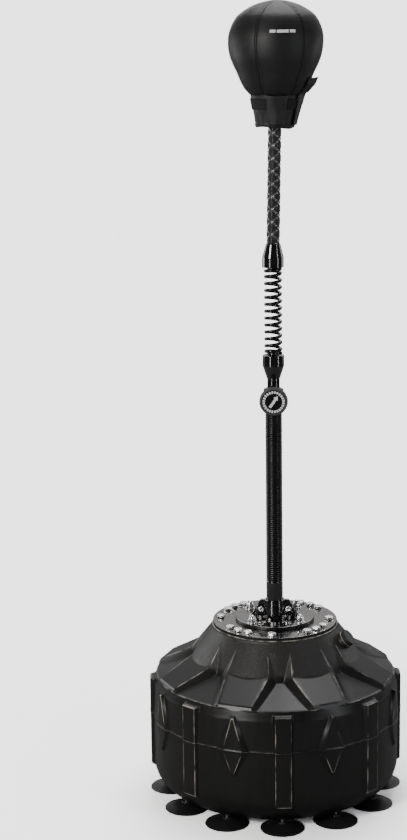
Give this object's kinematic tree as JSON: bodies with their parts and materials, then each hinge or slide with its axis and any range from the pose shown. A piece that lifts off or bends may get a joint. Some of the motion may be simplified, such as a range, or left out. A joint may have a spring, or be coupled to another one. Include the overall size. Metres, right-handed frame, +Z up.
{
  "type": "free-standing reflex punch ball",
  "caption": "Free-standing reflex punch ball: a padded ball on a sprung, height-adjustable pole over a round ballast tank on suction cups.",
  "frame": {"origin": "on the floor, below the pole's axis, at the centre of the ring of suction cups", "axes": "+Z up along the pole; -Y is the front, the side that the clamp knob faces; +X is the right seen from the front"},
  "size_m": [0.5332, 0.5332, 1.6405],
  "materials": {
    "tank_plastic": "moulded black polyethylene, satin, with a leathery grain on the cone",
    "seal_rubber": "matt black rubber",
    "cap_plastic": "satin black nylon",
    "cup_rubber": "dark rubber with a slight gloss",
    "zinc_steel": "zinc-plated steel",
    "chrome_bolt": "bright chrome",
    "polished_plate": "polished steel with a black edge",
    "black_enamel": "gloss black enamel",
    "ribbed_plastic": "satin black plastic with fine ring ridges",
    "spring_steel": "gloss black coated spring wire",
    "knob_plastic": "dark grey satin plastic",
    "knob_label": "gloss black disc with white tick marks",
    "grip_rubber": "matt textured pads between gloss channels",
    "rod_steel": "plain steel",
    "ball_leather": "black synthetic leather, fine grain, sewn",
    "strap_fabric": "black hook-and-loop tape",
    "bladder_rubber": "thin rubber"
  },
  "bodies": {
    "base": {"tank_upper": "tank_plastic", "tank_lower": "tank_plastic", "waist_seal": "seal_rubber", "filler_seal": "seal_rubber", "suction_cup_01": "cup_rubber", "suction_cup_02": "cup_rubber", "suction_cup_03": "cup_rubber", "suction_cup_04": "cup_rubber", "suction_cup_05": "cup_rubber", "suction_cup_06": "cup_rubber", "suction_cup_07": "cup_rubber", "suction_cup_08": "cup_rubber", "suction_cup_09": "cup_rubber", "suction_cup_10": "cup_rubber", "suction_cup_11": "cup_rubber", "suction_cup_12": "cup_rubber", "cup_studs": "zinc_steel", "plate_gasket": "seal_rubber", "mounting_plate": "polished_plate", "flange_plate": "polished_plate", "plate_bolts": "chrome_bolt", "threaded_inserts": "zinc_steel", "flange_studs": "zinc_steel", "flange_washers": "chrome_bolt", "cap_nuts": "chrome_bolt", "socket_front": "black_enamel", "socket_rear": "black_enamel", "clamp_bolts": "chrome_bolt", "clamp_nuts": "zinc_steel", "foot_screws": "zinc_steel", "outer_tube": "black_enamel", "ribbed_sleeve": "ribbed_plastic", "guide_collar": "cap_plastic", "knob_boss": "cap_plastic"},
    "filler_cap": {"filler_cap": "cap_plastic"},
    "clamp_shoe": {"clamp_shoe": "cap_plastic"},
    "clamp_knob": {"knob_body": "knob_plastic", "knob_face": "knob_label", "clamp_screw": "zinc_steel"},
    "inner_pole": {"inner_tube": "black_enamel", "tube_glide": "cap_plastic", "lower_collar": "black_enamel", "lower_spring_plug": "black_enamel"},
    "spring": {"main_spring": "spring_steel"},
    "head": {"upper_spring_plug": "black_enamel", "upper_collar": "black_enamel", "rod_core": "rod_steel", "lattice_grip": "grip_rubber", "ball_cover": "ball_leather", "ball_bladder": "bladder_rubber", "ball_disc": "rod_steel", "ball_nut": "zinc_steel", "neck_skirt": "ball_leather", "neck_strap": "strap_fabric", "closure_flap": "ball_leather"}
  },
  "joints": [
    {"name": "filler_cap_lift", "type": "slide", "parent": "base", "child": "filler_cap", "axis": [0.7364, -0.255, 0.6266], "range_m": [0, 0.045]},
    {"name": "shoe_travel", "type": "slide", "parent": "base", "child": "clamp_shoe", "axis": [0, -1, 0], "range_m": [0, 0.004]},
    {"name": "knob_turn", "type": "hinge", "parent": "clamp_shoe", "child": "clamp_knob", "pos_m": [0, -0.03, 0.845], "axis": [0, -1, 0], "range_deg": [0, 720]},
    {"name": "pole_height", "type": "slide", "parent": "base", "child": "inner_pole", "axis": [0, 0, 1], "range_m": [-0.018, 0.28]},
    {"name": "bend_side", "type": "hinge", "parent": "inner_pole", "child": "spring", "pos_m": [0, 0, 0.984], "axis": [0, 1, 0], "range_deg": [-50, 50], "stiffness_Nm_per_rad": 45, "deforming": ["main_spring"]},
    {"name": "bend_fore", "type": "hinge", "parent": "spring", "child": "head", "pos_m": [0, 0, 1.064], "axis": [1, 0, 0], "range_deg": [-50, 50], "stiffness_Nm_per_rad": 45, "deforming": ["main_spring"]}
  ],
  "couplings": [
    {"joint": "shoe_travel", "follows": "knob_turn", "m_per_rad": 0.00031831}
  ]
}
